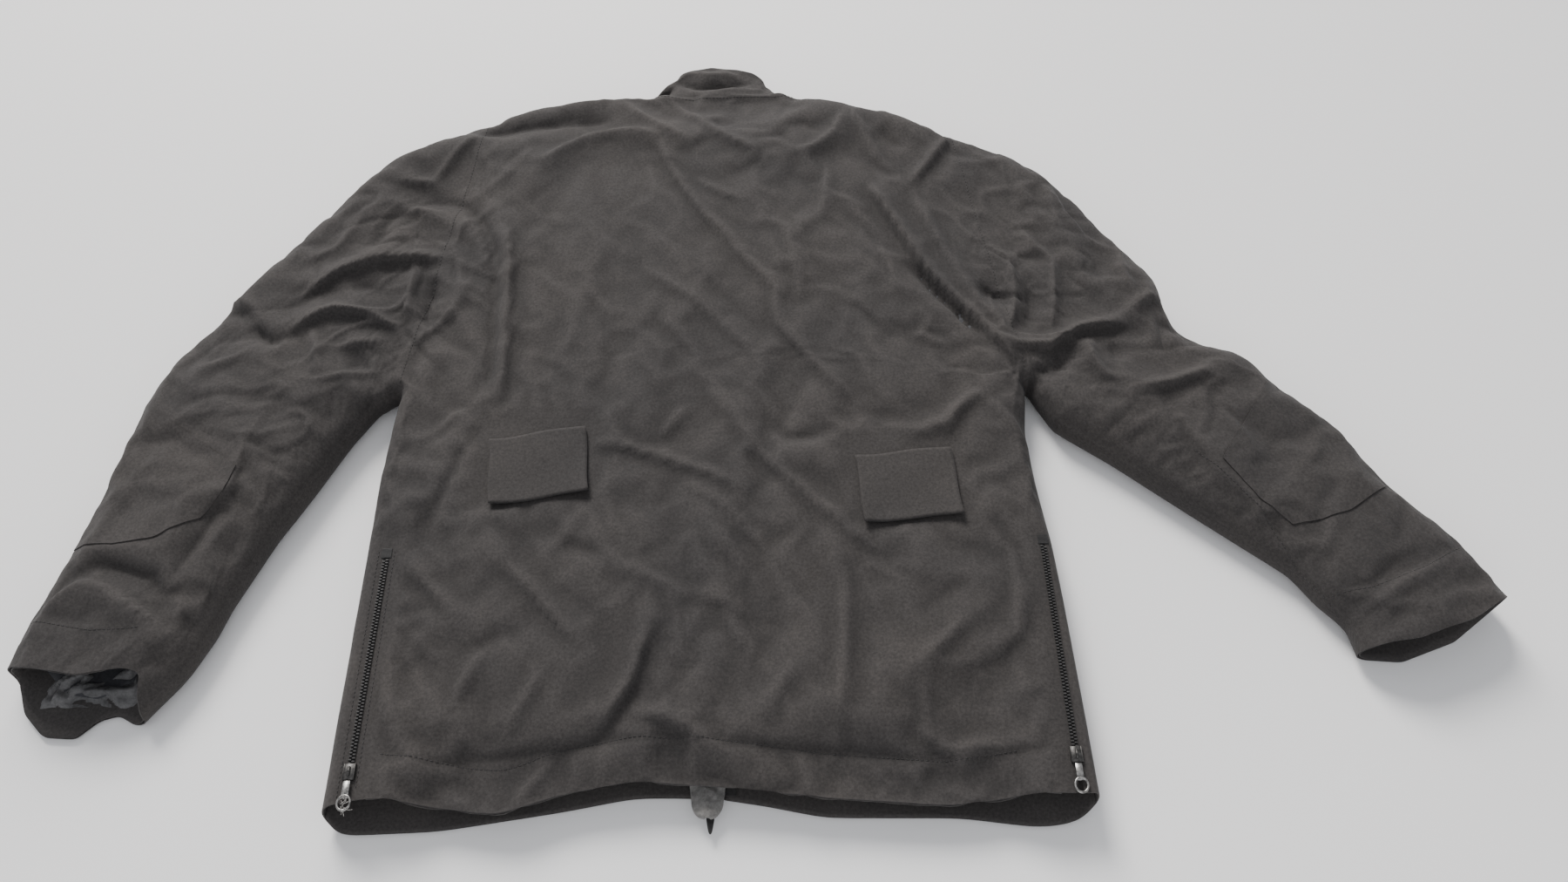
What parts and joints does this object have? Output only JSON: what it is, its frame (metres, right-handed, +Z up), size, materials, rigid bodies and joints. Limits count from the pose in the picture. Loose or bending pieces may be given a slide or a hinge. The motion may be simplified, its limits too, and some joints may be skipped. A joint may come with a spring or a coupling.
{
  "type": "riding jacket",
  "caption": "Waxed-cloth riding jacket lying face down: long body, stand collar, padded sleeves, two back flaps, side-vent zips and a front zip.",
  "frame": {"origin": "on the ground under the middle of the laid garment's box", "axes": "+Z up from the ground with the jacket face down, +Y from the hem to the collar, +X to the right of someone who stands at the hem"},
  "size_m": [1.17, 0.7892, 0.046],
  "materials": {
    "shell_cloth": "matte plain-woven waxed cotton, charcoal",
    "lining_cloth": "smooth dark lining",
    "facing_cloth": "self-cloth facing",
    "foam": "closed-cell foam pad",
    "zip_tape": "woven tape",
    "zip_coil": "moulded coil",
    "zip_metal": "worn nickel",
    "end_patch": "pale worn reinforcement"
  },
  "bodies": {
    "torso": {"back_panel": "shell_cloth", "back_hem_facing": "facing_cloth", "back_protector": "foam", "back_lining": "lining_cloth", "hanger_loop": "zip_tape", "left_side_panel": "shell_cloth", "right_side_panel": "shell_cloth", "left_front_panel": "shell_cloth", "right_front_panel": "shell_cloth", "left_front_lining": "lining_cloth", "right_front_lining": "lining_cloth", "left_front_hem_facing": "facing_cloth", "right_front_hem_facing": "facing_cloth", "left_zip_tape": "zip_tape", "right_zip_tape": "zip_tape", "left_zip_chain": "zip_coil", "right_zip_chain": "zip_coil", "zip_bottom_stop": "zip_metal", "zip_end_patch": "end_patch", "left_vent_outer_tape": "zip_tape", "left_vent_inner_tape": "zip_tape", "left_vent_outer_chain": "zip_coil", "left_vent_inner_chain": "zip_coil", "right_vent_outer_tape": "zip_tape", "right_vent_inner_tape": "zip_tape", "right_vent_outer_chain": "zip_coil", "right_vent_inner_chain": "zip_coil"},
    "collar_band": {"collar": "shell_cloth", "collar_lining": "lining_cloth"},
    "front_slider": {"front_zip_slider": "zip_metal"},
    "front_puller": {"front_zip_puller": "zip_metal"},
    "left_slider": {"left_vent_slider": "zip_metal"},
    "left_pull": {"left_vent_pull": "zip_metal"},
    "right_slider": {"right_vent_slider": "zip_metal"},
    "right_pull": {"right_vent_pull": "zip_metal"},
    "left_flap": {"left_back_flap": "shell_cloth", "left_back_flap_lining": "facing_cloth"},
    "right_flap": {"right_back_flap": "shell_cloth", "right_back_flap_lining": "facing_cloth"},
    "left_upper_arm": {"left_upper_sleeve": "shell_cloth", "left_upper_sleeve_lining": "lining_cloth", "left_shoulder_pad": "foam"},
    "left_forearm": {"left_forearm_sleeve": "shell_cloth", "left_forearm_lining": "lining_cloth", "left_cuff_facing": "facing_cloth", "left_elbow_pad": "foam", "left_elbow_patch": "shell_cloth"},
    "right_upper_arm": {"right_upper_sleeve": "shell_cloth", "right_upper_sleeve_lining": "lining_cloth", "right_shoulder_pad": "foam"},
    "right_forearm": {"right_forearm_sleeve": "shell_cloth", "right_forearm_lining": "lining_cloth", "right_cuff_facing": "facing_cloth", "right_elbow_pad": "foam", "right_elbow_patch": "shell_cloth"}
  },
  "joints": [
    {"name": "left_sleeve_fold", "type": "hinge", "parent": "torso", "child": "left_upper_arm", "pos_m": [-0.327, -0.028, 0.0343], "axis": [0.1369, 0.9906, 0], "range_deg": [0, 130]},
    {"name": "left_forearm_bend", "type": "hinge", "parent": "left_upper_arm", "child": "left_forearm", "pos_m": [-0.55, -0.07, 0], "axis": [0.9138, -0.4061, 0], "range_deg": [0, 110]},
    {"name": "right_sleeve_fold", "type": "hinge", "parent": "torso", "child": "right_upper_arm", "pos_m": [0.237, -0.028, 0.0343], "axis": [0.1369, -0.9906, 0], "range_deg": [0, 130]},
    {"name": "right_forearm_bend", "type": "hinge", "parent": "right_upper_arm", "child": "right_forearm", "pos_m": [0.35, -0.162, 0], "axis": [0.8636, 0.5043, 0], "range_deg": [0, 110]},
    {"name": "collar_turn", "type": "hinge", "parent": "torso", "child": "collar_band", "pos_m": [-0.045, 0.344, 0.0293], "axis": [1, 0, 0], "range_deg": [0, 120]},
    {"name": "left_flap_lift", "type": "hinge", "parent": "torso", "child": "left_flap", "pos_m": [-0.198, -0.078, 0.0374], "axis": [-0.9925, -0.1219, 0], "range_deg": [0, 150]},
    {"name": "right_flap_lift", "type": "hinge", "parent": "torso", "child": "right_flap", "pos_m": [0.112, -0.104, 0.0374], "axis": [-0.9962, -0.0872, 0], "range_deg": [0, 150]},
    {"name": "front_zip_slide", "type": "slide", "parent": "torso", "child": "front_slider", "axis": [0, -1, 0], "range_m": [0, 0.67]},
    {"name": "front_puller_swing", "type": "hinge", "parent": "front_slider", "child": "front_puller", "pos_m": [-0.045, 0.3111, 0.0024], "axis": [1, 0, 0], "range_deg": [0, 100]},
    {"name": "left_vent_slide", "type": "slide", "parent": "torso", "child": "left_slider", "axis": [0, 1, 0], "range_m": [0, 0.165]},
    {"name": "left_pull_swing", "type": "hinge", "parent": "left_slider", "child": "left_pull", "pos_m": [-0.3095, -0.3729, 0.03505], "axis": [-1, 0, 0], "range_deg": [0, 120]},
    {"name": "right_vent_slide", "type": "slide", "parent": "torso", "child": "right_slider", "axis": [0, 1, 0], "range_m": [0, 0.165]},
    {"name": "right_pull_swing", "type": "hinge", "parent": "right_slider", "child": "right_pull", "pos_m": [0.2195, -0.3729, 0.03505], "axis": [-1, 0, 0], "range_deg": [0, 120]}
  ]
}
